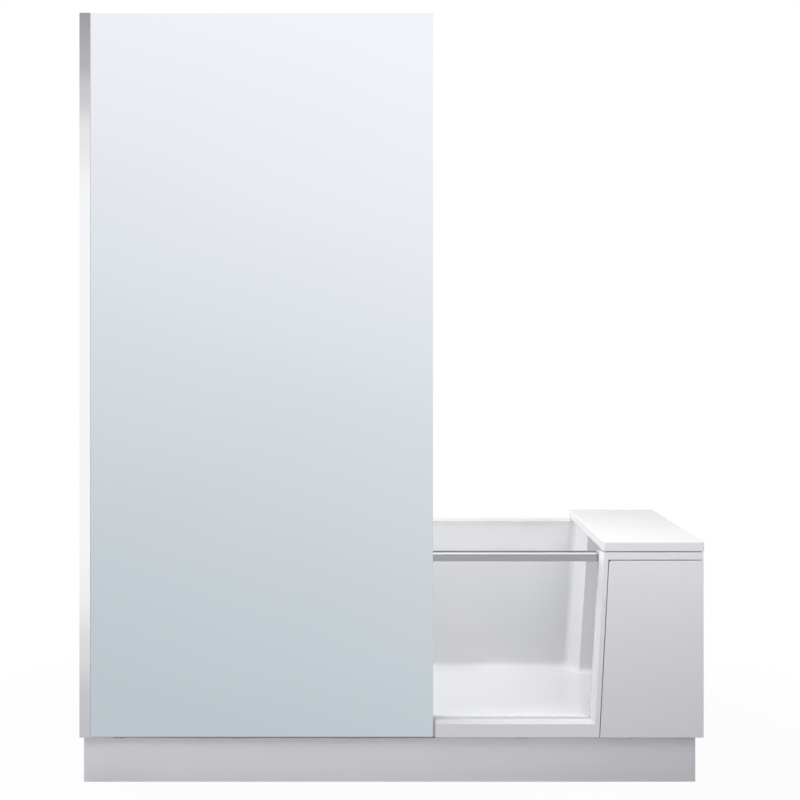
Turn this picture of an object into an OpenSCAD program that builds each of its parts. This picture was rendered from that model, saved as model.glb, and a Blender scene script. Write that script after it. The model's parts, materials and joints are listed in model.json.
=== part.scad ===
// Walk-in bath: a tub on a levelled frame, a low door that opens inwards,
// a fixed full-height screen on a wall profile, and a lift-off bench lid.
// Millimetres. +Z up, front face towards -Y, screen at -X, lid at +X.
// The origin lies on the room floor, under the middle of the whole bath.

/* [Overall] */
// Overall length, from the wall profile to the free end of the lid
bath_length = 1700; // [1640:10:1800]
// Overall width, from the front face to the rear wall
bath_width = 750; // [730:10:800]
// Height of the top of the screen above the room floor
screen_top = 2100; // [1900:10:2200]
// Height of the tub rim above the room floor
rim_height = 632; // [610:1:680]
// Height of the inside floor above the room floor
floor_height = 163; // [158:1:168]
// Height of the lower edge of screen, sill and panels
skirt_height = 128; // [124:1:132]

/* [Tub] */
// Thickness of the moulded tub skin
skin = 8; // [6:0.5:9]
// Width of the rim at the screen end
rim_left = 60; // [55:1:75]
// Width of the rim along the rear wall
rim_rear = 75; // [65:1:95]
// Width of the rim under the lid at the free end
rim_right = 75; // [70:1:85]
// Width of the front wall of the tub, measured at the rim
rim_front = 42; // [38:1:50]
// Radius of the cove round the floor and of the upright corners
cove_r = 19; // [15:1:30]
// Lean of the end wall at the screen
end_lean = 3; // [2:0.5:5]
// Lean of the front and rear walls
side_lean = 1; // [0.5:0.25:2]
// Lean of the backrest under the lid
backrest_lean = 15; // [12:0.5:16]
// Lean of the shoulder behind the lid's open edge
shoulder_lean = 4; // [3:0.5:5]
// How far the shoulder stands in from the rear wall
shoulder_depth = 72; // [60:1:85]
// How far the slanted side of the shoulder runs along the bath
shoulder_slant = 32; // [24:1:40]
// Distance from the lid's edge to the start of the shoulder, at the rim
shoulder_inset = 12; // [6:1:16]
// Height of the turned-down edge of the rim
rim_lip = 20.5; // [18:0.5:26]
// Thickness of that edge
lip_t = 6; // [5:0.5:8]

/* [Door surround] */
// Thickness of the surround, front to back
surround_t = 23; // [21:0.5:26]
// Width of the clear opening at rim height
opening_w = 448; // [420:1:460]
// Lean of the jamb
jamb_lean = 3; // [2:0.25:4]
// Width of the jamb, from the opening to the panel groove
jamb_w = 24.5; // [22:0.5:27]
// Width and depth of the bevel round the opening
bevel = 12; // [8:0.5:14]
// Height of the lip that the door closes on, above the inside floor
sill_lip = 11; // [8:0.5:14]
// Height of the bevel on the sill
sill_bevel = 9.4; // [6:0.2:10]
// Width of the groove round the front panel
groove = 2; // [1.5:0.5:4]
// Thickness of the flange behind the groove
flange_t = 5; // [4:0.5:6]
// Reach of that flange behind the panel
flange_reach = 20; // [16:1:26]

/* [Screen] */
// Width of the screen glass
screen_w = 950; // [900:1:960]
// Thickness of the screen glass
screen_t = 8; // [6:1:8]
// Visible width of the wall profile
profile_w = 29; // [26:1:34]
// Wall thickness of the wall profile
profile_wall = 2.5; // [2:0.5:3]
// Depth of glass held in the wall profile
profile_grip = 17; // [14:1:20]
// Depth of the wall profile, front to back
profile_d = 18; // [16:0.5:18.5]
// Gap between the screen's free edge and the sill
screen_gap = 6; // [4:0.5:8]
// Thickness of the cap on the wall profile
cap_t = 4; // [3:0.5:6]
// Radius of the screw holes in the wall profile
profile_hole_r = 3.3; // [2.8:0.1:3.5]
// Distance of the outer screw holes from the ends of the wall profile
profile_margin = 86; // [60:1:150]
// Height of the shoe's edge behind the screen
shoe_lip = 30; // [20:1:36]

/* [Door] */
// Thickness of the door glass
door_t = 8; // [6:1:8]
// Overlap of the door behind the opening's edge
door_overlap = 12; // [10:0.5:14]
// Clearance between the door and the gasket it closes on
door_clear = 0.3; // [0.3:0.1:0.6]
// Thickness of the gasket on the surround
gasket_t = 2.5; // [2:0.1:3]
// Thickness of the seal lips on the glass
seal_t = 2.2; // [1.8:0.1:2.4]
// Height of the seal along the lower edge of the door
seal_h = 15; // [13:0.5:18]
// Clearance between the lower seal and the inside floor
floor_clear = 2; // [1:0.5:4]
// Radius of the hinge stile's round edge
stile_r = 15.2; // [14.8:0.1:16]
// Width of the part of the stile that grips the glass
stile_w = 21; // [18:1:26]
// Radius of the pivot pins
pin_r = 4; // [3.5:0.25:4.5]
// Radial clearance of pins in bushes and of the bolt in its guide
fit_clear = 0.05; // [0.02:0.01:0.1]
// Wall thickness of the pivot bushes
bush_wall = 3; // [2:0.25:3.5]
// Thickness of the pivot brackets' arms
bracket_t = 12; // [10:0.5:14]

/* [Door rail] */
// Height of the rail
rail_h = 20; // [19:0.5:22]
// Depth of the rail, front to back
rail_d = 38; // [36:0.5:40]
// Wall thickness of the rail
rail_wall = 2.5; // [2:0.25:3]
// Distance from the top of the rail down from the rim
rail_drop = 7; // [6:0.5:9]
// Height of the dark grip strip on the rail
grip_h = 4; // [3:0.5:6.5]
// Width of the grip strip
grip_w = 6; // [5:0.5:8]
// Radius of the sliding bolt
bolt_r = 4; // [3.5:0.25:4.5]
// Travel of the sliding bolt
bolt_travel = 14; // [12:1:15]

/* [Lid] */
// Distance from the opening's edge to the lid's open edge, at the rim
lid_setback = 10; // [6:1:14]
// Thickness of the lid
lid_t = 26; // [20:1:30]
// Radius of the lid's upright corners
lid_r = 4; // [2:0.5:10]
// Height of the pads between rim and lid
pad_h = 2; // [1.5:0.5:5]
// Radius of these pads
pad_r = 9; // [6:0.5:14]
// Side of the square blocks under the lid
locator_w = 12; // [10:1:24]
// Height of these blocks
locator_h = 10; // [8:1:20]
// Clearance between the blocks and the walls of the tub
locator_clear = 1.5; // [1:0.25:3]
// How far the lid stands out past the end panel
lid_overhang = 2; // [1:0.5:4]

/* [Panels and plinth] */
// Thickness of the panel boards
panel_t = 14; // [12:0.5:15.5]
// Radius of the front panel's corner beside the jamb
panel_r = 8; // [3:0.5:12]
// Recess of the plinth behind the front face
plinth_recess = 25; // [22:1:35]
// Recess of the plinth at the free end
plinth_end_recess = 17; // [12:1:20]
// Thickness of the plinth boards
plinth_t = 12; // [10:1:14]
// Gap between the plinth and the lower edge of the panels
plinth_gap = 7; // [6:0.5:9]

/* [Frame and feet] */
// Outer size of the square frame tubes
tube = 30; // [25:1:32]
// Wall thickness of the frame tubes
tube_wall = 2; // [1.5:0.25:3]
// Distance of each long rail from the middle of the bath
rail_y = 260; // [240:5:270]
// Thickness of the board under the tub floor
board_t = 18; // [15:1:20]
// Distance of each wall anchor from the middle of the bath
anchor_x = 500; // [400:10:600]
// Width of the wall anchors
anchor_w = 40; // [30:1:60]
// Height of the wall anchors' plates
anchor_h = 70; // [60:1:90]
// Thickness of the wall anchors
anchor_t = 3; // [2:0.5:4]
// Distance of the end cross members and feet from the ends of the bath
foot_inset = 130; // [110:5:180]
// Width of the brackets under the skirt
bracket_w = 30; // [20:1:40]
// Thickness of these brackets
bracket_h = 5; // [4:0.5:6]
// Radius of the foot studs
stud_r = 6; // [5:0.5:6.5]
// Radius of the foot pads
foot_r = 26; // [20:1:32]
// Height of the foot pads
foot_h = 14; // [10:1:18]

/* [Waste and overflow] */
// Distance of the drain from the middle of the bath
drain_x = 450; // [400:5:480]
// Radius of the drain hole in the tub
drain_r = 27; // [25:0.5:28]
// Rise of the pop-up plug
plug_rise = 10; // [7:1:12]
// Radius of the trap
trap_r = 52; // [46:1:56]
// Radius of the waste outlet pipe
outlet_r = 25; // [20:1:25]
// Length of pipe that goes into the house pipe's socket
spigot = 60; // [45:5:70]
// Radius of the overflow pipe
overflow_r = 16; // [13:0.5:16]
// Wall thickness of the pipes
pipe_wall = 2; // [1.5:0.25:2.5]
// Depth of the overflow below the rim
overflow_drop = 72; // [66:1:100]
// Radius of the overflow plate
plate_r = 36; // [32:1:38]

/* [Hidden] */
$fn = 48;

// --- the box of the whole bath and its main planes
x_left = -bath_length / 2;
x_right = bath_length / 2;
y_front = -bath_width / 2;
y_rear = bath_width / 2;
body_right = x_right - lid_overhang;
eps = 0.01;
over = 60;                              // how far cuts run past the rim

// --- screen
screen_left = x_left + profile_w - profile_grip;
screen_right = screen_left + screen_w;
screen_y = y_front + (profile_d - profile_wall - screen_t) / 2;
profile_rear = y_front + profile_d;
shoe_t = 2;
screen_bottom = skirt_height + shoe_t;

// --- surround and opening
sill_left = screen_right + screen_gap;
opening_right = sill_left + opening_w;
stop_y = y_front + surround_t;
left_front_y = profile_rear + 1;        // front of the tub behind the screen
lip_z = floor_height + sill_lip;
function jamb_x(z) = opening_right + (z - rim_height) * tan(jamb_lean);
strip_z = rim_height - rim_lip;

// --- hinge axis and the planes of the door
seal_y = stop_y + gasket_t + door_clear;        // front of seals and stile
glass_y = seal_y + seal_t;
hinge_y = seal_y + stile_r;
hinge_x = screen_right - stile_w;           // stile hides behind the screen
left_jamb_x = hinge_x - stile_r - 1.8;
left_lip_x = hinge_x + 7;                       // edge of the hidden lip
rail_front = profile_rear - 3;
rail_rear = rail_front + rail_d;
rail_top = rim_height - rail_drop;
rail_z = rail_top - rail_h;
rail_left = hinge_x + 5;
rail_right = jamb_x(rail_z) - 2;
left_lip_top = rail_z - 3;
cap_w = 3;
stile_top = rail_z - 19;
stile_bottom = floor_height + 27;
bush_flange = 2;
bush_h = 14;
bush_r = pin_r + bush_wall;
notch_x = hinge_x + 16;                         // glass edge beside the arms
glass_bottom = floor_height + floor_clear + seal_t;
glass_top = rail_z + rail_wall + 6;
function door_edge(z) = jamb_x(z) + door_overlap;

// --- inside walls of the tub, given at the rim
wall_left = x_left + rim_left;
wall_rear = y_rear - rim_rear;
wall_front = stop_y + rim_front;
wall_right = body_right - rim_right;
lid_left = opening_right + lid_setback;
shoulder_x = lid_left + shoulder_inset;
bay_gap = jamb_w - 0.5;                         // jamb edge to the bay's wall
function bay_x(z) = jamb_x(z) + bay_gap;
function leaned(at_rim, lean, z) = at_rim + (z - rim_height) * tan(lean);
floor_under = floor_height - skin;

// --- frame
board_z = floor_under - board_t;
tube_z = board_z - tube;
post_size = tube - 5;
plinth_end_x = body_right - plinth_end_recess;
post_x = plinth_end_x - plinth_t - post_size - 6;
rails_left = x_left + foot_inset - 40;
rails_right = post_x + post_size;
function spread(count, inset) = [for (i = [0 : count - 1])
    x_left + inset + i * (bath_length - 2 * inset) / (count - 1)];
cross_x = spread(4, foot_inset);
foot_x = spread(3, foot_inset);
foot_y = [-rail_y, rail_y];
panel_left = opening_right + jamb_w + groove;
panel_w = body_right - panel_left;
bracket_x = concat(
    [for (share = [0.08, 0.42, 0.76]) screen_left + share * screen_w],
    [sill_left + opening_w / 2],
    [panel_left + 0.2 * panel_w, post_x + post_size - bracket_w]);
plinth_top = skirt_height - plinth_gap;
plinth_left = x_left + 6;
nut_h = 6;

// --- waste and overflow
drain_pos = [-drain_x, 0];
neck_r = drain_r - 1;
trap_top = floor_under - 3;
trap_bottom = 48;
outlet_z = trap_bottom + 5 + outlet_r;
overflow_line_z = tube_z - 6 - overflow_r;
overflow_z = rim_height - overflow_drop;
overflow_x = leaned(wall_left, -end_lean, overflow_z);
elbow_x = overflow_x - skin - 21;
plate_x = overflow_x + 4;
plate_t = 8;
bend_r = 55;
cable_r = 2.5;
cable_y = overflow_r + 16;
cable_z = tube_z - 10;

// ---------------------------------------------------------------- helpers

// A flat outline in X and Z, given a thickness t from y0 towards +Y
module xz_plate(y0, t) {
    translate([0, y0 + t, 0]) rotate([90, 0, 0]) linear_extrude(t) children();
}

// A flat outline in Y and Z, given a thickness t from x0 towards +X
module yz_plate(x0, t) {
    translate([x0, 0, 0]) rotate([90, 0, 90]) linear_extrude(t) children();
}

// A box between two corners
module box(a, b) {
    translate(a) cube(b - a);
}

// A cylinder along X or Y from the point p
module rod_x(p, r, len) {
    translate(p) rotate([0, 90, 0]) cylinder(r = r, h = len);
}

module rod_y(p, r, len) {
    translate(p) rotate([-90, 0, 0]) cylinder(r = r, h = len);
}

// A ring standing on the point p
module ring(p, r_out, r_in, h) {
    translate(p) difference() {
        cylinder(r = r_out, h = h);
        translate([0, 0, -1]) cylinder(r = r_in, h = h + 2);
    }
}

// A convex hollow form with ball corners
module ball_hull(centres, r) {
    hull() for (c = centres) translate(c) sphere(r, $fn = 32);
}

// A rounded rectangle on the plane z = 0
module round_rect(w, d, r) {
    union() {
        translate([r, 0]) square([w - 2 * r, d]);
        translate([0, r]) square([w, d - 2 * r]);
        for (x = [r, w - r], y = [r, d - r]) translate([x, y]) circle(r);
    }
}

// ------------------------------------------------------------- tub shell

// Centres of the corner balls at one height, for the room beside the door
function main_corners(z) =
    let (r = cove_r,
        left = leaned(wall_left, -end_lean, z) + r / cos(end_lean),
        front = leaned(wall_front, -side_lean, z) + r,
        rear = leaned(wall_rear, side_lean, z),
        flank = leaned(shoulder_x, shoulder_lean, z),
        slope = sqrt(pow(shoulder_depth, 2) + pow(shoulder_slant, 2)),
        nx = shoulder_depth / slope,
        ny = shoulder_slant / slope,
        far = 1.5)
    [
        [left, front, z],
        [left, rear - r, z],
        [flank - r * (1 - ny) / nx, rear - r, z],
        [flank + far * shoulder_slant - r * nx,
            rear - far * shoulder_depth - r * ny, z],
        [flank - r, front, z]
    ];

// The same for the backrest well under the lid
function well_corners(z) =
    let (r = cove_r,
        front = leaned(wall_front, -side_lean, z) + r,
        rear = leaned(wall_rear, side_lean, z) - shoulder_depth - r,
        right = leaned(wall_right, backrest_lean, z) - r / cos(backrest_lean))
    [
        [shoulder_x - 2 * shoulder_depth, front, z],
        [shoulder_x - 2 * shoulder_depth, rear, z],
        [right, rear, z],
        [right, front, z]
    ];

// The tub's hollow, grown by the skin where its outside is wanted
module tub_volume(grow) {
    low = floor_height + cove_r;
    high = rim_height + over;
    ball_hull(concat(main_corners(low), main_corners(high)), cove_r + grow);
    ball_hull(concat(well_corners(low), well_corners(high)), cove_r + grow);
    bay_y = stop_y - (grow > 0 ? 0 : 1);
    xz_plate(bay_y, wall_front + cove_r + 6 - bay_y) polygon([
        [left_jamb_x - grow, floor_height - grow],
        [bay_x(floor_height - grow) + grow, floor_height - grow],
        [bay_x(high) + grow, high],
        [left_jamb_x - grow, high]
    ]);
}

// The flat rim with its turned-down edges
module rim() {
    z0 = rim_height - skin;
    box([x_left, left_front_y, z0], [left_jamb_x, y_rear, rim_height]);
    box([left_jamb_x - 1, stop_y, z0], [body_right, y_rear, rim_height]);
    box([x_left, y_rear - lip_t, strip_z], [body_right, y_rear, rim_height]);
    box([x_left, left_front_y, strip_z], [x_left + lip_t, y_rear, rim_height]);
    box([x_left, left_front_y, strip_z],
        [left_jamb_x - skin, left_front_y + lip_t, rim_height]);
    box([body_right - lip_t, stop_y, strip_z],
        [body_right, y_rear, rim_height]);
}

module tub_shell() {
    color("white") difference() {
        union() {
            intersection() {
                tub_volume(skin);
                box([x_left, y_front, 0], [x_right, y_rear, rim_height]);
            }
            rim();
        }
        tub_volume(0);
        // seat and hole of the drain
        translate([drain_pos.x, drain_pos.y, floor_height - 2])
            cylinder(r = drain_r + 11, h = 20);
        translate([drain_pos.x, drain_pos.y, floor_under - 5])
            cylinder(r = drain_r, h = 30);
        // hole of the overflow
        rod_x([overflow_x - skin - 20, 0, overflow_z], overflow_r + 0.5, 60);
    }
}

// --------------------------------------------------------- door surround

// Everything in front of the bevelled edge of the opening
module bevel_cut() {
    high = rim_height + over;
    intersection() {
        yz_plate(sill_left - 1, body_right) polygon([
            [y_front - 1, lip_z - sill_bevel * (1 + 1 / bevel)],
            [y_front + bevel, lip_z],
            [y_front + bevel, high],
            [y_front - 1, high]
        ]);
        translate([opening_right, 0, rim_height])
            rotate([0, jamb_lean, 0])
                translate([0, 0, -rim_height])
                    linear_extrude(rim_height + over) polygon([
                        [-1.25 * opening_w, y_front - 1],
                        [bevel + 1, y_front - 1],
                        [0, y_front + bevel],
                        [-1.25 * opening_w, y_front + bevel]
                    ]);
    }
}

module door_surround() {
    color("whitesmoke") difference() {
        union() {
            // sill, jamb and strip above the front panel
            xz_plate(y_front, surround_t) polygon([
                [sill_left, skirt_height],
                [jamb_x(skirt_height) + jamb_w, skirt_height],
                [jamb_x(strip_z) + jamb_w, strip_z],
                [body_right, strip_z],
                [body_right, rim_height],
                [opening_right, rim_height],
                [jamb_x(lip_z), lip_z],
                [sill_left, lip_z]
            ]);
            // flange that the front panel lies against
            xz_plate(stop_y - flange_t, flange_t) polygon([
                [sill_left, skirt_height],
                [jamb_x(skirt_height) + jamb_w + flange_reach, skirt_height],
                [jamb_x(strip_z) + jamb_w + flange_reach,
                    strip_z - flange_reach],
                [body_right - panel_t - 2, strip_z - flange_reach],
                [body_right - panel_t - 2, rim_height],
                [opening_right, rim_height],
                [jamb_x(lip_z), lip_z],
                [sill_left, lip_z]
            ]);
            // lip hidden behind the screen
            xz_plate(left_front_y, stop_y - left_front_y) polygon([
                [left_jamb_x - 20, skirt_height],
                [sill_left + 2, skirt_height],
                [sill_left + 2, lip_z],
                [left_lip_x, lip_z],
                [left_lip_x, left_lip_top],
                [left_jamb_x - 20, left_lip_top]
            ]);
        }
        bevel_cut();
    }
}

// -------------------------------------------------- panels and their clips

// Board with a rounded corner beside the jamb
module front_panel() {
    r = panel_r;
    top = strip_z - groove;
    left_low = jamb_x(skirt_height) + jamb_w + groove;
    left_top = jamb_x(top) + jamb_w + groove;
    color("whitesmoke") xz_plate(y_front, panel_t) difference() {
        polygon([
            [left_low, skirt_height],
            [body_right, skirt_height],
            [body_right, top],
            [left_top, top]
        ]);
        difference() {
            translate([left_top - 5, top - r]) square([r + 5, r + 1]);
            translate([left_top + r, top - r]) circle(r);
        }
    }
}

// Spring clips between the panel and the flange of the surround
module panel_clips() {
    y0 = y_front + panel_t;
    depth = stop_y - flange_t - y0;
    size = flange_reach * 0.7;
    side = [for (share = [0.2, 0.7])
        let (z = skirt_height + share * (strip_z - skirt_height))
        [jamb_x(z) + jamb_w + groove + 2, z]];
    top = [for (share = [0.2, 0.62])
        [panel_left + share * panel_w, strip_z - flange_reach + 1]];
    color("gray") for (p = concat(side, top))
        translate([p.x, y0, p.y]) difference() {
            cube([size, depth, size]);
            translate([2, depth / 4, -1]) cube([size - 4, depth / 2, size + 2]);
        }
}

module end_panel() {
    color("whitesmoke") box(
        [body_right - panel_t, y_front + panel_t + 1, skirt_height],
        [body_right, y_rear, strip_z - groove]);
}

module plinth_front() {
    y0 = y_front + plinth_recess;
    color("whitesmoke") box([plinth_left, y0, 0],
        [plinth_end_x, y0 + plinth_t, plinth_top]);
}

module plinth_end() {
    y0 = y_front + plinth_recess + plinth_t;
    color("whitesmoke") box([plinth_end_x - plinth_t, y0, 0],
        [plinth_end_x, y_rear - 2, plinth_top]);
}

// Clips that hold the front plinth to the front studs
module plinth_clips() {
    y0 = y_front + plinth_recess + plinth_t;
    color("dimgray") for (x = foot_x) difference() {
        union() {
            translate([x, -rail_y, 40]) cylinder(r = stud_r + 4, h = 12);
            box([x - 6, y0, 42], [x + 6, -rail_y - stud_r, 50]);
            box([x - 14, y0, 34], [x + 14, y0 + 3, 58]);
        }
        translate([x, -rail_y, 30]) cylinder(r = stud_r + fit_clear, h = 40);
    }
}

// ------------------------------------------------------- frame and feet

module tube_x(x0, x1, y, z) {
    difference() {
        box([x0, y - tube / 2, z], [x1, y + tube / 2, z + tube]);
        box([x0 - 1, y - tube / 2 + tube_wall, z + tube_wall],
            [x1 + 1, y + tube / 2 - tube_wall, z + tube - tube_wall]);
    }
}

module support_rails() {
    color("silver") for (y = foot_y) difference() {
        tube_x(rails_left, rails_right, y, tube_z);
        for (x = foot_x) translate([x, y, tube_z - 1])
            cylinder(r = stud_r + 0.3, h = tube_wall + 2);
    }
}

module cross_members() {
    inner = rail_y - tube / 2;
    color("silver") for (x = cross_x) difference() {
        box([x - tube / 2, -inner, tube_z], [x + tube / 2, inner, board_z]);
        box([x - tube / 2 + tube_wall, -inner - 1, tube_z + tube_wall],
            [x + tube / 2 - tube_wall, inner + 1, board_z - tube_wall]);
    }
}

// Posts that carry the rim at the free end
module end_posts() {
    size = post_size;
    color("silver") for (y = foot_y) difference() {
        box([post_x, y - size / 2, board_z],
            [post_x + size, y + size / 2, rim_height - skin]);
        box([post_x + tube_wall, y - size / 2 + tube_wall, board_z - 1],
            [post_x + size - tube_wall, y + size / 2 - tube_wall,
                rim_height]);
    }
}

module base_board() {
    color("burlywood") difference() {
        box([rails_left + 5, -rail_y - 8, board_z],
            [leaned(wall_right, backrest_lean, floor_height) - cove_r - 6,
                rail_y - 4, floor_under]);
        translate([drain_pos.x, drain_pos.y, board_z - 1])
            cylinder(r = trap_r + 10, h = board_t + 2);
    }
}

// Arms from the front rail that carry the screen, the sill and the panel
module skirt_brackets() {
    y_rail = -rail_y - tube / 2;
    color("silver") for (x = bracket_x) {
        box([x, y_front + 14, skirt_height - bracket_h],
            [x + bracket_w, y_rail, skirt_height]);
        box([x, y_rail - bracket_h, tube_z + 3],
            [x + bracket_w, y_rail, skirt_height]);
    }
}

// Arms from the rail ends that carry the end panel
module end_brackets() {
    color("silver") for (y = foot_y) {
        box([rails_right, y - bracket_w / 2, skirt_height - bracket_h],
            [body_right - 4, y + bracket_w / 2, skirt_height]);
        box([rails_right, y - bracket_w / 2, plinth_top + 1],
            [rails_right + 3, y + bracket_w / 2, board_z]);
    }
}

module foot_studs() {
    color("lightsteelblue") for (x = foot_x, y = foot_y)
        translate([x, y, foot_h - 6])
            cylinder(r = stud_r, h = board_z - 12 - foot_h + 6);
}

// One nut under the rail and one inside it, on each stud
module foot_nuts() {
    across = stud_r * 1.85;
    color("lightsteelblue") for (x = foot_x, y = foot_y)
        for (z = [tube_z - nut_h, tube_z + tube_wall])
            translate([x, y, z]) difference() {
                cylinder(r = across, h = nut_h, $fn = 6);
                translate([0, 0, -1])
                    cylinder(r = stud_r + fit_clear, h = nut_h + 2);
            }
}

module foot_pads() {
    color("dimgray") for (x = foot_x, y = foot_y) translate([x, y, 0])
        difference() {
            union() {
                cylinder(r = foot_r, h = foot_h - 7);
                translate([0, 0, foot_h - 7])
                    cylinder(r1 = foot_r, r2 = stud_r + 5, h = 7);
            }
            translate([0, 0, foot_h - 6])
                cylinder(r = stud_r + fit_clear, h = 10);
        }
}

// Plates on the rear wall that the rim hooks over
module wall_anchors() {
    half = anchor_w / 2;
    t = anchor_t;
    color("silver") for (x = [-anchor_x, anchor_x]) translate([x, 0, 0])
        difference() {
            union() {
                box([-half, y_rear - t, strip_z - anchor_h],
                    [half, y_rear, strip_z]);
                box([-half, y_rear - anchor_w, strip_z - t],
                    [half, y_rear, strip_z]);
                box([-half, y_rear - lip_t - t, strip_z - 1],
                    [half, y_rear - lip_t, strip_z + rim_lip / 2]);
            }
            rod_y([0, y_rear - t - 1, strip_z - anchor_h + anchor_w / 2 + 5],
                profile_hole_r, t + 2);
        }
}

// ------------------------------------------------ wall profile and screen

module wall_profile() {
    top = screen_top - cap_t;
    middle = (profile_d - profile_wall) / 2;
    pitch = (screen_top - skirt_height - 2 * profile_margin) / 3;
    holes = [for (i = [0 : 3]) skirt_height + profile_margin + i * pitch];
    color("silver") difference() {
        box([x_left, y_front, skirt_height],
            [x_left + profile_w, profile_rear, top]);
        box([x_left + profile_wall, y_front + profile_wall,
                skirt_height - 1],
            [x_left + profile_w + 1, profile_rear - profile_wall, top + 1]);
        for (z = holes)
            rod_x([x_left - 1, y_front + middle, z], profile_hole_r, 10);
    }
}

// A strip each side of the glass, inside the wall profile
module profile_gasket() {
    x0 = screen_left;
    x1 = x_left + profile_w;
    color("dimgray") {
        box([x0, y_front + profile_wall, skirt_height],
            [x1, screen_y, screen_top - cap_t]);
        box([x0, screen_y + screen_t, skirt_height],
            [x1, profile_rear - profile_wall, screen_top - cap_t]);
    }
}

// Cap on the end of the wall profile, notched for the glass
module profile_cap() {
    z0 = screen_top - cap_t;
    color("silver") difference() {
        box([x_left, y_front, z0],
            [x_left + profile_w, profile_rear, screen_top]);
        box([screen_left, y_front + profile_wall, z0 - 1],
            [x_left + profile_w + 1, profile_rear - profile_wall,
                screen_top + 1]);
    }
}

module screen_glass() {
    color("lightblue") box([screen_left, screen_y, screen_bottom],
        [screen_right, screen_y + screen_t, screen_top]);
}

// Bonding tape between the screen and the edge of the rim
module screen_tape() {
    color("dimgray") box(
        [x_left + profile_w + 20, screen_y + screen_t, strip_z + 3],
        [left_jamb_x - skin - 5, left_front_y, rim_height - 3]);
}

// Angle that carries the lower edge of the screen
module screen_shoe() {
    x0 = x_left + profile_w + 2;
    x1 = screen_right - 2;
    color("silver") {
        box([x0, screen_y + 1, skirt_height],
            [x1, screen_y + screen_t + 2, screen_bottom]);
        box([x0, screen_y + screen_t, screen_bottom - eps],
            [x1, screen_y + screen_t + 2, skirt_height + shoe_lip]);
    }
}

// ------------------------------------- door gasket, pivots and the strike

// Strip along the back of the opening's edge
module door_gasket() {
    w = door_overlap - 1;
    top = rail_z - 3;
    color("dimgray") xz_plate(stop_y, gasket_t) polygon([
        [left_lip_x - w, floor_height + 1],
        [jamb_x(floor_height + 1) + w, floor_height + 1],
        [jamb_x(top) + w, top],
        [jamb_x(top), top],
        [jamb_x(lip_z), lip_z - 1],
        [left_lip_x, lip_z - 1],
        [left_lip_x, top],
        [left_lip_x - w, top]
    ]);
}

// Arm round the hinge axis, with the plate that fixes it to the jamb
module pivot_bracket(z_arm, z_plate0, z_plate1) {
    arm_r = 13;
    plate_y = 15;
    difference() {
        union() {
            translate([hinge_x, hinge_y, z_arm])
                cylinder(r = arm_r, h = bracket_t);
            box([left_jamb_x, hinge_y - arm_r, z_arm],
                [hinge_x, hinge_y + arm_r, z_arm + bracket_t]);
            box([left_jamb_x, hinge_y - arm_r, z_plate0],
                [left_jamb_x + 3, hinge_y + plate_y, z_plate1]);
        }
        translate([hinge_x, hinge_y, z_arm - 1])
            cylinder(r = pin_r, h = bracket_t + 2);
        for (y = screw_y)
            rod_x([left_jamb_x - 1, y, screw_z(z_arm)], 2.6, 5);
    }
}

lower_arm_z = stile_bottom - bush_flange - bracket_t;
upper_arm_z = stile_top + bush_flange;
screw_y = [hinge_y - 7, hinge_y + 9];
// Screws sit below the lower arm and above the upper arm
function screw_z(z_arm) =
    z_arm == lower_arm_z ? z_arm - 7 : z_arm + bracket_t + 7;

module lower_pivot_bracket() {
    color("silver") pivot_bracket(lower_arm_z, floor_height + 0.5,
        lower_arm_z + bracket_t);
}

module upper_pivot_bracket() {
    color("silver") pivot_bracket(upper_arm_z, upper_arm_z,
        upper_arm_z + bracket_t + 14);
}

module pivot_pins() {
    reach = bush_h - 1;
    color("lightsteelblue") {
        translate([hinge_x, hinge_y, lower_arm_z])
            cylinder(r = pin_r, h = bracket_t + bush_flange + reach);
        translate([hinge_x, hinge_y, upper_arm_z - bush_flange - reach])
            cylinder(r = pin_r, h = bracket_t + bush_flange + reach);
    }
}

module pivot_screws() {
    color("lightsteelblue")
        for (z_arm = [lower_arm_z, upper_arm_z], y = screw_y) {
            rod_x([left_jamb_x, y, screw_z(z_arm)], 2.5, 3);
            rod_x([left_jamb_x + 3, y, screw_z(z_arm)], 4, 1.2);
        }
}

strike_x = rail_right + 4;
bolt_y = rail_rear - rail_wall - bolt_r - 2;
bolt_z = rail_z + rail_h / 2;

// Block on the far wall of the door bay that the bolt slides into
module strike_block() {
    z0 = rail_z + 1;
    z1 = rim_height - 2;
    color("silver") difference() {
        xz_plate(bolt_y - 12, 22) polygon([
            [strike_x, z0], [bay_x(z0), z0], [bay_x(z1), z1], [strike_x, z1]
        ]);
        rod_x([strike_x - 1, bolt_y, bolt_z], bolt_r + 0.6, 17);
    }
}

// ------------------------------------------------------ waste and overflow

module drain_flange() {
    guide_r = 8;
    color("silver") translate([drain_pos.x, drain_pos.y, 0]) {
        difference() {
            union() {
                translate([0, 0, floor_height - 2])
                    cylinder(r = drain_r + 9, h = 2.5);
                translate([0, 0, trap_top - 24])
                    cylinder(r = neck_r, h = floor_height - 1 - trap_top + 24);
            }
            translate([0, 0, trap_top - 25])
                cylinder(r = neck_r - 4, h = 80);
        }
        // cross with the guide of the plug
        difference() {
            union() {
                translate([0, 0, floor_height - 22])
                    cylinder(r = guide_r, h = 10);
                for (a = [0, 90]) rotate(a)
                    translate([3 - neck_r, -1.5, floor_height - 22])
                        cube([2 * neck_r - 6, 3, 8]);
            }
            translate([0, 0, floor_height - 30])
                cylinder(r = 4 + fit_clear, h = 30);
        }
    }
}

module drain_gasket() {
    color("dimgray")
        ring([drain_pos.x, drain_pos.y, trap_top], drain_r + 16,
            neck_r + fit_clear, 3);
}

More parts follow.
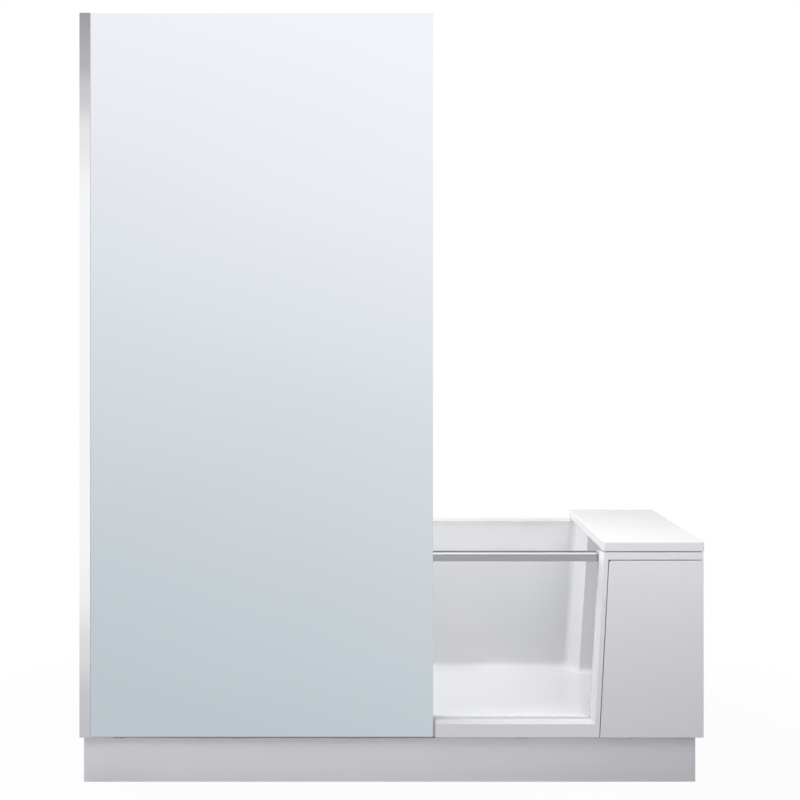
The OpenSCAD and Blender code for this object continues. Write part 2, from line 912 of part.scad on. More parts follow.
// Cup of the trap, with its inlet, outlet and overflow sockets
module trap_body() {
    wall = 3;
    reach = trap_r + 22;
    color("gainsboro") translate([drain_pos.x, drain_pos.y, 0]) difference() {
        union() {
            translate([0, 0, trap_bottom])
                cylinder(r = trap_r, h = board_z - 4 - trap_bottom);
            translate([0, 0, board_z - 5])
                cylinder(r = drain_r + 14, h = trap_top - board_z + 5);
            rod_y([0, 0, outlet_z], outlet_r + 3, reach);
            rod_x([-reach, 0, overflow_line_z], overflow_r + 3, reach);
            rod_x([-trap_r, cable_y, cable_z], cable_r + 3, trap_r);
        }
        translate([0, 0, trap_bottom + wall])
            cylinder(r = trap_r - wall, h = board_z - 4 - trap_bottom
                - 2 * wall);
        translate([0, 0, trap_bottom + 20])
            cylinder(r = neck_r + fit_clear, h = trap_top);
        rod_y([0, 0, outlet_z], outlet_r - pipe_wall, reach + 1);
        rod_y([0, trap_r - 2, outlet_z], outlet_r + fit_clear, reach);
        rod_x([-reach - 1, 0, overflow_line_z], overflow_r - pipe_wall,
            reach);
        rod_x([-reach - 1, 0, overflow_line_z], overflow_r + fit_clear,
            reach - trap_r + 2);
        rod_x([-trap_r - 1, cable_y, cable_z], cable_r + fit_clear, 20);
    }
}

// Ribbed union nut where the outlet leaves the trap
module outlet_nut() {
    y0 = drain_pos.y + trap_r + 23;
    color("gray") difference() {
        union() {
            rod_y([drain_pos.x, y0, outlet_z], outlet_r + 6, 14);
            for (i = [0 : 11])
                translate([drain_pos.x, y0, outlet_z]) rotate([0, i * 30, 0])
                    translate([outlet_r + 5, 0, -2]) cube([3, 14, 4]);
        }
        rod_y([drain_pos.x, y0 - 1, outlet_z], outlet_r + fit_clear, 16);
    }
}

// Outlet pipe with a bead that stops the house pipe's socket
module waste_outlet() {
    y0 = drain_pos.y + trap_r;
    y1 = y_rear - 5;
    color("gainsboro") difference() {
        union() {
            rod_y([drain_pos.x, y0, outlet_z], outlet_r, y1 - y0);
            rod_y([drain_pos.x, y1 - spigot - 5, outlet_z], outlet_r + 2.5, 5);
        }
        rod_y([drain_pos.x, y0 - 1, outlet_z], outlet_r - pipe_wall,
            y1 - y0 + 2);
    }
}

// Round plate with a ring of slots under the knob
module overflow_plate() {
    color("silver") difference() {
        union() {
            rod_x([plate_x, 0, overflow_z], plate_r, plate_t - 3);
            rod_x([plate_x + plate_t - 3, 0, overflow_z], plate_r - 2, 3);
            rod_x([overflow_x - skin - 6, 0, overflow_z], overflow_r - 1,
                plate_x - overflow_x + skin + 7);
        }
        rod_x([overflow_x - skin - 7, 0, overflow_z], overflow_r - 4,
            plate_x + plate_t - 3 - overflow_x + skin + 7);
        rod_x([plate_x, 0, overflow_z], 3 + fit_clear, 20);
        for (a = [60 : 30 : 300]) translate([0, 0, overflow_z])
            rotate([a, 0, 0]) rod_x([plate_x - 1, 0, plate_r - 7], 2.5, 20);
    }
}

// Wedge ring that makes up the lean of the end wall
module overflow_gasket() {
    color("dimgray") difference() {
        rod_x([overflow_x - 6, 0, overflow_z], plate_r - 4,
            plate_x - overflow_x + 6);
        rod_x([overflow_x - 10, 0, overflow_z], overflow_r + 0.5, 30);
        translate([overflow_x + 0.15, 0, overflow_z])
            rotate([0, -end_lean, 0])
                translate([-plate_r, -2 * plate_r, -2 * plate_r])
                    cube([plate_r, 4 * plate_r, 4 * plate_r]);
    }
}

// Body behind the end wall, with its spout and the cable's gland
module overflow_elbow() {
    back = overflow_x - skin - 42;
    color("gainsboro") difference() {
        union() {
            rod_x([back, 0, overflow_z], overflow_r + 8, 38);
            translate([elbow_x, 0, overflow_z - 58])
                cylinder(r = overflow_r + 3, h = 58);
            translate([elbow_x, 0, overflow_z - 14])
                rotate([-90, 0, 0]) cylinder(r = 7, h = cable_y);
            translate([elbow_x, cable_y, overflow_z - 30])
                cylinder(r = cable_r + 3.5, h = 24);
        }
        rod_x([back + 3, 0, overflow_z], overflow_r - 1 + fit_clear, 60);
        translate([elbow_x, 0, overflow_z - 60])
            cylinder(r = overflow_r - pipe_wall, h = 60);
        translate([elbow_x, 0, overflow_z - 60])
            cylinder(r = overflow_r + fit_clear, h = 32);
        translate([elbow_x, cable_y, overflow_z - 31])
            cylinder(r = cable_r + fit_clear, h = 18);
    }
}

// A bend from straight down to straight along +X
module bend(x, y, z, radius, r) {
    translate([x + radius, y, z + radius]) rotate([90, 0, 0])
        rotate([0, 0, 180]) rotate_extrude(angle = 90)
            translate([radius, 0]) circle(r);
}

// A run straight down, round a bend and along +X
module down_and_along(x, y, z_top, z_run, x_end, radius, r) {
    translate([x, y, z_run + radius])
        cylinder(r = r, h = z_top - z_run - radius);
    bend(x, y, z_run, radius, r);
    rod_x([x + radius, y, z_run], r, x_end - x - radius);
}

module overflow_pipe() {
    x_end = drain_pos.x - trap_r - 2;
    top = overflow_z - 30;
    color("gainsboro") difference() {
        down_and_along(elbow_x, 0, top, overflow_line_z, x_end, bend_r,
            overflow_r);
        down_and_along(elbow_x, 0, top + 1, overflow_line_z, x_end + 1,
            bend_r, overflow_r - pipe_wall);
    }
}

module lift_cable() {
    color("gray") down_and_along(elbow_x, cable_y, overflow_z - 15, cable_z,
        drain_pos.x - trap_r + 17, bend_r, cable_r);
}

// Clips that tie the lift cable to the overflow pipe
module cable_clips() {
    h = 10;
    color("dimgray") for (share = [0.75, 0.46])
        translate([elbow_x, 0, share * overflow_z]) difference() {
            union() {
                cylinder(r = overflow_r + 2.5, h = h);
                translate([0, cable_y, 0])
                    cylinder(r = cable_r + 2.5, h = h);
                translate([-2, overflow_r + 1, 0])
                    cube([4, cable_y - overflow_r - cable_r, h]);
            }
            translate([0, 0, -1]) {
                cylinder(r = overflow_r + fit_clear, h = h + 2);
                translate([0, cable_y, 0])
                    cylinder(r = cable_r + fit_clear, h = h + 2);
            }
        }
}

// Moving part of the overflow: a ribbed knob on its spindle
module overflow_knob() {
    x0 = plate_x + plate_t + 0.5;
    knob_r = plate_r - 12;
    color("silver") {
        rod_x([plate_x - 2, 0, overflow_z], 3, 8 + plate_t);
        rod_x([x0, 0, overflow_z], knob_r, 9);
        rod_x([x0 + 9, 0, overflow_z], knob_r - 2, 1.5);
        for (i = [0 : 11]) translate([0, 0, overflow_z])
            rotate([i * 30, 0, 0]) rod_x([x0, 0, knob_r - 0.5], 1.8, 9);
        // raised bar that shows the setting
        box([x0 + 9, -3, overflow_z - knob_r + 4],
            [x0 + 14, 3, overflow_z + knob_r - 4]);
    }
}

module drain_plug() {
    stem = plug_rise + 22;      // stays in the flange's cross when it is up
    color("silver") translate([drain_pos.x, drain_pos.y, 0]) {
        translate([0, 0, floor_height + 2.8])
            cylinder(r = drain_r + 4, h = 3);
        translate([0, 0, floor_height + 5.8])
            cylinder(r1 = drain_r + 4, r2 = drain_r - 2, h = 2);
        translate([0, 0, floor_height - stem])
            cylinder(r = 4, h = stem + 4);
    }
}

module plug_seal() {
    color("dimgray")
        ring([drain_pos.x, drain_pos.y, floor_height + 0.8],
            drain_r + 2, drain_r - 3, 2);
}

// ---------------------------------------------------------------- the door

module door_glass() {
    side = door_overlap - seal_t;
    color("azure", 0.5) xz_plate(glass_y, door_t) polygon([
        [notch_x, glass_bottom],
        [jamb_x(glass_bottom) + side, glass_bottom],
        [jamb_x(rail_z - 2) + side, rail_z - 2],
        [rail_right - cap_w - 1, rail_z - 2],
        [rail_right - cap_w - 1, glass_top],
        [notch_x, glass_top],
        [notch_x, stile_top],
        [hinge_x + 8, stile_top],
        [hinge_x + 8, stile_bottom],
        [notch_x, stile_bottom]
    ]);
}

// Hollow rail: a pocket for the glass in front, the bolt's tunnel behind
module door_rail() {
    tunnel_y = glass_y + door_t + rail_wall;
    color("silver") difference() {
        box([rail_left, rail_front, rail_z],
            [rail_right - cap_w, rail_rear, rail_top]);
        box([rail_left - 1, glass_y, rail_z - 1],
            [rail_right + 1, glass_y + door_t, glass_top]);
        box([rail_left + cap_w, tunnel_y, rail_z + rail_wall],
            [rail_right + 1, rail_rear - rail_wall, rail_top - rail_wall]);
        box([rail_left + cap_w, rail_front + rail_wall, rail_z + rail_wall],
            [rail_right + 1, glass_y - rail_wall, rail_top - rail_wall]);
        // slot of the thumb piece
        box([thumb_x - 5, rail_rear - rail_wall - 1, bolt_z - 3.4],
            [thumb_x + bolt_travel + 5, rail_rear + 1, bolt_z + 3.4]);
    }
}

// Plates that close the rail's ends; the one at the lock guides the bolt
module rail_end_caps() {
    color("gray") difference() {
        box([rail_right - cap_w, rail_front, rail_z],
            [rail_right, rail_rear, rail_top]);
        rod_x([rail_right - cap_w - 1, bolt_y, bolt_z], bolt_r + fit_clear,
            10);
    }
}

module grip_strip() {
    color("dimgray") box([rail_left, rail_rear - grip_w, rail_top],
        [rail_right, rail_rear, rail_top + grip_h]);
}

module hinge_stile() {
    h = stile_top - stile_bottom;
    color("silver") difference() {
        union() {
            translate([hinge_x, hinge_y, stile_bottom])
                cylinder(r = stile_r, h = h);
            box([hinge_x, seal_y, stile_bottom],
                [hinge_x + stile_w, glass_y + door_t + seal_t + 5,
                    stile_top]);
        }
        box([hinge_x + 8, glass_y, stile_bottom - 1],
            [hinge_x + stile_w + 1, glass_y + door_t, stile_top + 1]);
        for (z = [stile_bottom - 1, stile_top - bush_h - 1])
            translate([hinge_x, hinge_y, z])
                cylinder(r = bush_r + fit_clear, h = bush_h + 2);
    }
}

module pivot_bushes() {
    module bush() {
        difference() {
            union() {
                cylinder(r = bush_r, h = bush_h);
                translate([0, 0, -bush_flange + 0.3])
                    cylinder(r = bush_r + 3, h = bush_flange - 0.3);
            }
            translate([0, 0, -bush_flange - 1])
                cylinder(r = pin_r + fit_clear, h = bush_h + bush_flange + 2);
        }
    }
    color("dimgray") {
        translate([hinge_x, hinge_y, stile_bottom]) bush();
        translate([hinge_x, hinge_y, stile_top]) mirror([0, 0, 1]) bush();
    }
}

module door_bottom_seal() {
    z0 = glass_bottom - seal_t;
    side = door_overlap - seal_t;
    color("gray") difference() {
        xz_plate(seal_y, door_t + 2 * seal_t) polygon([
            [notch_x, z0],
            [jamb_x(z0) + side, z0],
            [jamb_x(z0 + seal_h) - 1, z0 + seal_h],
            [notch_x, z0 + seal_h]
        ]);
        box([notch_x - 1, glass_y, glass_bottom],
            [x_right, glass_y + door_t, rim_height]);
    }
}

module door_side_seal() {
    z0 = glass_bottom - seal_t + seal_h + 0.5;
    z1 = rail_z - 2;
    lap = 11;
    side = door_overlap - seal_t;
    color("gray") difference() {
        xz_plate(seal_y, door_t + 2 * seal_t) polygon([
            [door_edge(z0) - lap, z0],
            [door_edge(z0), z0],
            [door_edge(z1), z1],
            [door_edge(z1) - lap, z1]
        ]);
        xz_plate(glass_y, door_t) polygon([
            [hinge_x, z0 - 5],
            [jamb_x(z0 - 5) + side, z0 - 5],
            [jamb_x(z1 + 5) + side, z1 + 5],
            [hinge_x, z1 + 5]
        ]);
    }
}

thumb_x = rail_right - 75;

module lock_bolt() {
    color("silver") {
        rod_x([thumb_x - 10, bolt_y, bolt_z], bolt_r,
            rail_right - thumb_x + 9.5);
        // stem through the slot of the rail
        rod_y([thumb_x, bolt_y, bolt_z], 3, rail_rear + 1 - bolt_y);
    }
}

// Ribbed thumb piece on the inner side of the rail
module lock_thumb() {
    y0 = rail_rear + 0.5;
    color("dimgray") difference() {
        union() {
            translate([thumb_x, y0, bolt_z]) rotate([-90, 0, 0])
                translate([-14, -7, 0]) linear_extrude(5)
                    round_rect(28, 14, 4);
            for (i = [-2 : 2])
                box([thumb_x + i * 5 - 1, y0 + 4, bolt_z - 5],
                    [thumb_x + i * 5 + 1, y0 + 6.5, bolt_z + 5]);
        }
        rod_y([thumb_x, y0 - 1, bolt_z], 3 + fit_clear, 3);
    }
}

// ----------------------------------------------------------------- the lid

lid_z = rim_height + pad_h;

module lid_pads() {
    from_end = rim_right / 2;
    from_rear = rim_rear / 2;
    front = wall_front - rim_front / 2;
    spots = [
        [lid_left + rim_front, front], [body_right - from_end, front],
        [body_right - from_end, 0],
        [lid_left + rim_rear, y_rear - from_rear],
        [body_right - from_end, y_rear - from_rear]
    ];
    color("dimgray") for (p = spots)
        translate([p.x, p.y, rim_height]) cylinder(r = pad_r, h = pad_h);
}

module lid() {
    color("white") translate([lid_left, y_front, lid_z])
        linear_extrude(lid_t) round_rect(x_right - lid_left, bath_width, lid_r);
}

// Blocks under the lid that keep it over the backrest well
module lid_locators() {
    w = locator_w;
    near_end = wall_right - cove_r + 2 * locator_clear - w;
    corners_x = [near_end - 0.4 * (near_end - lid_left), near_end];
    corners_y = [wall_front + locator_clear,
        wall_rear - shoulder_depth - locator_clear - w];
    color("dimgray") for (x = corners_x, y = corners_y)
        translate([x, y, lid_z - locator_h]) linear_extrude(locator_h)
            round_rect(w, w, w / 6);
}

// ------------------------------------------------------------- every piece

tub_shell();
door_surround();
front_panel();
panel_clips();
end_panel();
base_board();
support_rails();
cross_members();
end_posts();
skirt_brackets();
end_brackets();
foot_studs();
foot_nuts();
foot_pads();
plinth_front();
plinth_end();
plinth_clips();
wall_anchors();
wall_profile();
profile_gasket();
profile_cap();
screen_glass();
screen_tape();
screen_shoe();
door_gasket();
lower_pivot_bracket();
upper_pivot_bracket();
pivot_pins();
pivot_screws();
strike_block();
drain_flange();
drain_gasket();
trap_body();
outlet_nut();
waste_outlet();
overflow_plate();
overflow_gasket();
overflow_elbow();
overflow_pipe();
lift_cable();
cable_clips();
lid_pads();
door_glass();
door_rail();
rail_end_caps();
grip_strip();
hinge_stile();
pivot_bushes();
door_bottom_seal();
door_side_seal();
lock_bolt();
lock_thumb();
lid();
lid_locators();
drain_plug();
plug_seal();
overflow_knob();
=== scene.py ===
"""Looks of a walk-in bath with a door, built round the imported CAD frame.

Lengths are in metres in the CAD frame: X to the lid's end, -Y out of the
front face, Z up from the room floor. Colours are sRGB levels from 0 to 255,
or linear where they have four parts.
"""

import json
import math

import bmesh
import bpy
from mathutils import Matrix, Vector

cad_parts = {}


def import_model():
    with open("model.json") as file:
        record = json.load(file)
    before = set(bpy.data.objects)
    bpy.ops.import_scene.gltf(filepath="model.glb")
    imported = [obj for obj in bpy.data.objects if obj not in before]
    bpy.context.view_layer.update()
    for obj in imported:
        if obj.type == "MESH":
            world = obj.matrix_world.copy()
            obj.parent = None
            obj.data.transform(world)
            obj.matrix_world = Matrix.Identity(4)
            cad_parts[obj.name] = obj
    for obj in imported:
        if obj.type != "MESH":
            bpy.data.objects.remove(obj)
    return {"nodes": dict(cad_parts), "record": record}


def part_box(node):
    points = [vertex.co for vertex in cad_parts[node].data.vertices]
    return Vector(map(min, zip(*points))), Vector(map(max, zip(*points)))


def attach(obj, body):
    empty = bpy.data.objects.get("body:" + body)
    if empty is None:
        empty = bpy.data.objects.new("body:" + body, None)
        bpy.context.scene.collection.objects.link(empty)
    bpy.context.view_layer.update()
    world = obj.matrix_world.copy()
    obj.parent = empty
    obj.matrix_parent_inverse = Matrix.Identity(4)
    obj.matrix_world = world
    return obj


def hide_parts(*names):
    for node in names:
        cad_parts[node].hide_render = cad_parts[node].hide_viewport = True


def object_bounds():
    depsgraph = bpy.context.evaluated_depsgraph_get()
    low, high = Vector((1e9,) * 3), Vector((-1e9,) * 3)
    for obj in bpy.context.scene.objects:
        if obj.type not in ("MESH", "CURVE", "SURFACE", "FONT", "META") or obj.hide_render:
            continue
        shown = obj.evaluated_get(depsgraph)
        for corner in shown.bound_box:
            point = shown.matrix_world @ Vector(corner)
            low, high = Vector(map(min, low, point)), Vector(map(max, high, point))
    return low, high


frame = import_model()
CAD_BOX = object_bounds()
NODES = frame["nodes"]
LEFT, FRONT = CAD_BOX[0][0], CAD_BOX[0][1]
RIGHT, BACK, TOP = CAD_BOX[1]

# ------------------------------------------------------------------- colours

WHITE = (1.0, 1.0, 1.0, 1.0)

# What each white adds to a level for red, green and blue
TUB_TINT = (0, 0, 1)
MOULDING_TINT = (0, -1, 2)
PLINTH_TINT = (0, -1, 3)


def linear(level):
    """An sRGB level as a linear value from 0 to 1."""
    c = level / 255
    return c / 12.92 if c <= 0.04045 else ((c + 0.055) / 1.055) ** 2.4


def rgb(red, green, blue):
    """An sRGB colour in levels as linear RGBA."""
    return (linear(red), linear(green), linear(blue), 1.0)


def tone(tint, level):
    """One level of a tinted white as linear RGBA."""
    return rgb(*(level + shift for shift in tint))


def tones(tint, *stops):
    """A ramp's stops in one tint, from pairs of place and level."""
    return [(place, tone(tint, level)) for place, level in stops]


# ---------------------------------------------------------------- node trees

ACROSS, BACKWARDS, UP = (1.0, 0.0, 0.0), (0.0, 1.0, 0.0), (0.0, 0.0, 1.0)

# Where noise mostly lies
NOISE_LOW, NOISE_HIGH = 0.3, 0.7

# Parts of a normal along an axis, from not looking that way to wholly so
ASKANCE, STRAIGHT = 0.3, 0.9


class Graph:
    """A node tree, emptied, with short ways to build it up again."""

    def __init__(self, owner):
        owner.use_nodes = True
        self.tree = owner.node_tree
        self.tree.nodes.clear()

    def put(self, socket, source):
        """Feeds a socket from a number, a colour or another socket."""
        if isinstance(source, bpy.types.NodeSocket):
            self.tree.links.new(source, socket)
        else:
            socket.default_value = source

    def add(self, kind, feeds=None, **settings):
        """Adds a node and feeds its inputs, which go by name or number."""
        node = self.tree.nodes.new(kind)
        for key, value in settings.items():
            setattr(node, key, value)
        for key, source in (feeds or {}).items():
            self.put(node.inputs[key], source)
        return node

    def math(self, kind, a, b=0.0):
        node = self.add("ShaderNodeMath", {0: a, 1: b}, operation=kind)
        return node.outputs[0]

    def vector(self, kind, a, b=(0.0, 0.0, 0.0), out="Vector"):
        """Vector arithmetic; out is Value where a number comes of it."""
        node = self.add("ShaderNodeVectorMath", {0: a, 1: b}, operation=kind)
        return node.outputs[out]

    def part(self, vector, axis):
        """One coordinate of a vector."""
        return self.add("ShaderNodeSeparateXYZ", {0: vector}).outputs[axis]

    def most(self, first, *others):
        """The largest of several values."""
        for other in others:
            first = self.math("MAXIMUM", first, other)
        return first

    def rest(self, share):
        """What a share leaves of 1."""
        return self.math("SUBTRACT", 1.0, share)

    def spread(self, value, low, high, start=NOISE_LOW, end=NOISE_HIGH,
               kind="LINEAR"):
        """A value from start to end as low to high, and held beyond."""
        node = self.add("ShaderNodeMapRange", {
            "Value": value, "From Min": start, "From Max": end,
            "To Min": low, "To Max": high}, interpolation_type=kind)
        return node.outputs["Result"]

    def step(self, value, start, end):
        """0 up to start, 1 from end on."""
        return self.spread(value, 0.0, 1.0, start, end)

    def ramp(self, value, stops, smooth=True):
        """A colour from a value; each stop is a place and a colour."""
        node = self.add("ShaderNodeValToRGB", {"Fac": value})
        node.color_ramp.interpolation = "EASE" if smooth else "LINEAR"
        elements = node.color_ramp.elements
        while len(elements) < len(stops):
            elements.new(0.5)
        for element, (place, colour) in zip(elements, stops):
            element.position = place
            element.color = colour
        return node.outputs["Color"]

    def mix(self, share, a, b):
        """Colour a where the share is 0, colour b where it is 1."""
        node = self.add("ShaderNodeMix", {"Factor": share, 6: a, 7: b},
                        data_type="RGBA")
        return node.outputs[2]

    def mix_shaders(self, share, a, b):
        node = self.add("ShaderNodeMixShader", {0: share, 1: a, 2: b})
        return node.outputs[0]

    def seen(self):
        """1 for rays of the camera, in gloss and through glass."""
        path = self.add("ShaderNodeLightPath").outputs
        return self.most(path["Is Camera Ray"], path["Is Glossy Ray"],
                         path["Is Transmission Ray"])


class Mat(Graph):
    """A material round one Principled shader, laid out by place in the
    CAD frame. The methods that feed the shader return the material."""

    def __init__(self, name, **constants):
        self.material = bpy.data.materials.new(name)
        super().__init__(self.material)
        self.place = self.add("ShaderNodeTexCoord").outputs["Object"]
        self.shader = self.add("ShaderNodeBsdfPrincipled", {
            key.replace("_", " "): v for key, v in constants.items()})
        out = self.add("ShaderNodeOutputMaterial")
        self.surface = out.inputs["Surface"]
        self.put(self.surface, self.shader.outputs[0])

    def colour(self, source):
        self.put(self.shader.inputs["Base Color"], source)
        return self

    def rough(self, source):
        self.put(self.shader.inputs["Roughness"], source)
        return self

    def bump(self, height, strength, distance):
        node = self.add("ShaderNodeBump", {
            "Strength": strength, "Distance": distance, "Height": height})
        self.put(self.shader.inputs["Normal"], node.outputs["Normal"])
        return self

    def paint(self, share, metal, paint):
        """Bare metal, but paint where the share is 1."""
        self.put(self.shader.inputs["Metallic"], self.rest(share))
        return self.colour(self.mix(share, metal, paint))

    def stretched(self, scale, turn=0.0):
        """Places scaled along the axes, after a turn about X and Y."""
        node = self.add("ShaderNodeMapping", {
            "Vector": self.place, "Scale": scale,
            "Rotation": (turn, turn, 0.0)})
        return node.outputs[0]

    def noise(self, scale, detail=3.0, rough=0.5, stretch=None, turn=0.0):
        place = self.stretched(stretch, turn) if stretch else self.place
        node = self.add("ShaderNodeTexNoise", {
            "Vector": place, "Scale": scale, "Detail": detail,
            "Roughness": rough})
        return node.outputs["Fac"]

    def clouds(self):
        """The wide, faint unevenness that all the whites share."""
        return self.noise(2.2, 2, 0.45)

    def smears(self):
        """The uneven gloss that all the whites share."""
        return self.noise(7, 4, 0.6)

    def clouded(self, value, reach):
        """A value moved up and down by the clouds."""
        return self.math("ADD", value,
                         self.spread(self.clouds(), -reach, reach))

    def normal(self):
        return self.add("ShaderNodeNewGeometry").outputs["Normal"]

    def looking(self, axis, way=1):
        """1 on faces that look along an axis, or against it where way is
        -1, and 0 on those across it."""
        return self.step(self.part(self.normal(), axis),
                         ASKANCE * way, STRAIGHT * way)

    def along(self, direction, start, end):
        """Place along a direction, as 0 at start to 1 at end."""
        far = self.vector("DOT_PRODUCT", self.place, direction, "Value")
        return self.step(far, start, end)


# ------------------------------------------------------- materials: the bath

MIDDLE_OF_BATH = (-0.1, 0.0, 0.42)            # acrylic looks towards it
FLOOR_EDGE = (0.165, 0.19)        # heights between which floor turns to wall
RIM_EDGE = (0.6, 0.625)           # heights between which wall turns to rim
RIM_LIP = (0.588, 0.594)          # above it the outer side is acrylic too
FIBRE_TURNS = (0.0, 0.6, -0.9)    # how three layers of glass fibre lie


def acrylic_painted_light(m):
    """Painted light and shade: a little greyer low on the walls and on the rim's top, as
    painted shade, whiter on the non-slip floor and most so towards its rear, as painted
    light."""
    height = m.clouded(m.part(m.place, "Z"), 0.02)
    walls = m.ramp(height, tones(
        TUB_TINT, (0.19, 218), (0.21, 215), (0.26, 213), (0.38, 218),
        (0.5, 226), (0.55, 235), (0.6, 232)), smooth=False)
    # Faces that look to the left are painted paler, a painted highlight
    walls = m.mix(m.looking("X", -1), walls, tone(TUB_TINT, 224))
    # The rim's top takes painted shade, darkest towards the left end
    rim_top = m.ramp(m.along(ACROSS, LEFT, 0.2), tones(
        TUB_TINT, (0.0, 202), (1.0, 218)), smooth=False)
    # The floor takes painted light, whiter towards its rear
    floor = m.ramp(m.along(BACKWARDS, -0.25, 0.28), tones(
        TUB_TINT, (0.0, 227), (0.47, 232), (0.9, 238)), smooth=False)
    upper = m.mix(m.step(height, *RIM_EDGE), walls, rim_top)
    return m.mix(m.step(height, *FLOOR_EDGE), floor, upper)


def tub_acrylic():
    """Gloss acrylic in the bath and on its rim; behind it the resin backing
    with its chopped glass fibres."""
    m = Mat("acrylic")
    inward = m.vector("SUBTRACT", MIDDLE_OF_BATH, m.place)
    facing = m.vector("DOT_PRODUCT", inward, m.normal(), "Value")
    basin = m.step(facing, -0.01, 0.01)
    acrylic = m.most(basin, m.step(m.part(m.place, "Z"), *RIM_LIP))

    fibres = m.most(*(m.noise(55, 2, 0.5, (1, 1, 14), turn)
                      for turn in FIBRE_TURNS))
    resin = m.mix(m.step(fibres, 0.5, 0.75),
                  rgb(214, 211, 203), rgb(229, 227, 220))
    # The acrylic's colour carries painted light and shade
    m.colour(m.mix(acrylic, resin, acrylic_painted_light(m)))

    sheen = m.spread(m.smears(), 0.12, 0.18)
    dull = m.spread(fibres, 0.62, 0.5, 0.4, 0.8)
    m.rough(m.add("ShaderNodeMix", {0: acrylic, 2: dull, 3: sheen},
                  data_type="FLOAT").outputs[0])
    return m.bump(m.math("MULTIPLY", fibres, m.rest(acrylic)), 0.5, 0.0012)


# ----------------------------------------------------- materials: the fronts

# The fronts' rise in paleness is painted shade, darker towards the floor
FRONT_SHADE_RISE = (0.13, 0.61)         # heights over which the fronts grow paler


def glossy_white(name, rough, coat=0.0):
    """The uneven gloss of a cast or lacquered white, without its colour."""
    m = Mat(name, Coat_Weight=coat, Coat_Roughness=0.08)
    return m.rough(m.spread(m.smears(), rough * 0.85, rough * 1.2))


def painted_rise(m, stops):
    """A front's colour with painted shade, which grows paler from the floor up."""
    height = m.clouded(m.along(UP, *FRONT_SHADE_RISE), 0.06)
    return m.ramp(height, stops, smooth=False)


def surround_white():
    """The moulding round the door, with painted shade: greyer on its ledges and low on its
    face.
    """
    m = glossy_white("moulding", 0.2, 0.3)
    face = painted_rise(m, tones(
        MOULDING_TINT, (0.0, 238), (0.55, 240), (0.85, 245), (1.0, 247)))
    return m.colour(m.mix(m.looking("Z"), face, tone(MOULDING_TINT, 229)))


def panel_white():
    m = glossy_white("panel", 0.21, 0.2)
    # Painted shade: darker towards the floor, paler upwards
    return m.colour(painted_rise(m, [
        (0.0, rgb(229, 228, 232)), (1.0, rgb(247, 246, 249))]))


def lid_white():
    """The cast slab, with painted light and shade: paler on its front edge, greyer on its
    inner one.
    """
    m = glossy_white("slab", 0.35, 0.1)
    top = m.ramp(m.clouds(), [
        (0.0, rgb(239, 239, 240)), (1.0, rgb(242, 241, 243))], smooth=False)
    slab = m.mix(m.looking("Y", -1), top, rgb(247, 246, 248))
    return m.colour(m.mix(m.looking("X", -1), slab, rgb(231, 231, 233)))


def plinth_white():
    """With painted shade: greyer at its foot and towards the lid's end, and its top
    painted dark as the shade under the bath.
    """
    m = glossy_white("plinth", 0.38)
    run = m.clouded(m.along(ACROSS, LEFT, RIGHT), 0.04)
    foot = m.ramp(run, tones(
        PLINTH_TINT, (0.0, 225), (0.12, 237), (0.3, 236), (0.5, 233),
        (0.66, 228), (0.82, 220), (1.0, 216)), smooth=False)
    head = m.ramp(run, tones(
        PLINTH_TINT, (0.0, 235), (0.12, 244), (0.65, 244), (1.0, 230)),
        smooth=False)
    face = m.mix(m.along(UP, 0.02, 0.1), foot, head)
    # The top is painted dark, as painted shade under the bath
    return m.colour(m.mix(m.looking("Z"), face, rgb(150, 149, 152)))


# --------------------------------------------------- materials: glass, metal

# The mirror's colour is a painted reflection along this slant
REFLECTION_SLANT = (0.36, 0.0, 1.0)   # the mirror grows paler in this direction
REFLECTION_RISE = (-0.02, 1.98)       # over these places along it


def screen_mirror():
    """Silvered safety glass with a painted reflection: pale at the top, blue-grey low
    down, with the slight slant and clouding of the photographed panel."""
    m = Mat("mirror_glass", Metallic=1.0)
    reflection_place = m.along(REFLECTION_SLANT, *REFLECTION_RISE)
    drift = m.spread(m.noise(0.9, 2, 0.5, (1, 1, 1.6)), -0.02, 0.02)
    m.colour(m.ramp(m.math("ADD", reflection_place, drift), [
        (0.0, rgb(189, 199, 205)), (0.25, rgb(201, 209, 215)),
        (0.5, rgb(215, 222, 227)), (0.75, rgb(231, 234, 240)),
        (1.0, rgb(240, 243, 248))], smooth=False))
    return m.rough(m.spread(m.noise(5, 3), 0.015, 0.03))


def profile_chrome():
    """Polished profile with a painted reflection, darker towards both ends as a room shows
    in it. Its cut edge beside the glass is painted pale, a painted highlight over the
    shade there."""
    m = Mat("polished_profile", Metallic=1.0)
    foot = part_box("wall_profile")[0].z
    painted_reflection_bands = m.ramp(m.along(UP, foot, TOP), [
        (0.0, rgb(194, 193, 198)), (0.051, rgb(198, 197, 202)),
        (0.12, rgb(219, 218, 221)), (0.2, rgb(241, 240, 243)),
        (0.27, rgb(247, 247, 250)), (0.74, rgb(247, 247, 250)),
        (0.83, rgb(232, 231, 234)), (0.89, rgb(203, 202, 206)),
        (0.935, rgb(179, 178, 182)), (1.0, rgb(162, 161, 165))])
    m.rough(m.spread(m.noise(90, 3, 0.6, (8, 8, 0.2)), 0.12, 0.22))
    return m.paint(m.looking("X"), painted_reflection_bands, rgb(238, 239, 242))


def rail_chrome():
    """Satin rail with a painted reflection: a dark grey front and a pale top."""
    m = Mat("satin_rail", Metallic=1.0)
    grain = m.noise(40, 3, 0.6, (0.3, 8, 8))
    # The front's dark grey and the pale top are a painted reflection
    front = m.ramp(grain, [
        (0.2, rgb(157, 157, 160)), (0.8, rgb(165, 165, 168))])
    m.rough(m.spread(grain, 0.16, 0.22))
    return m.paint(m.looking("Z"), front, rgb(244, 244, 246))


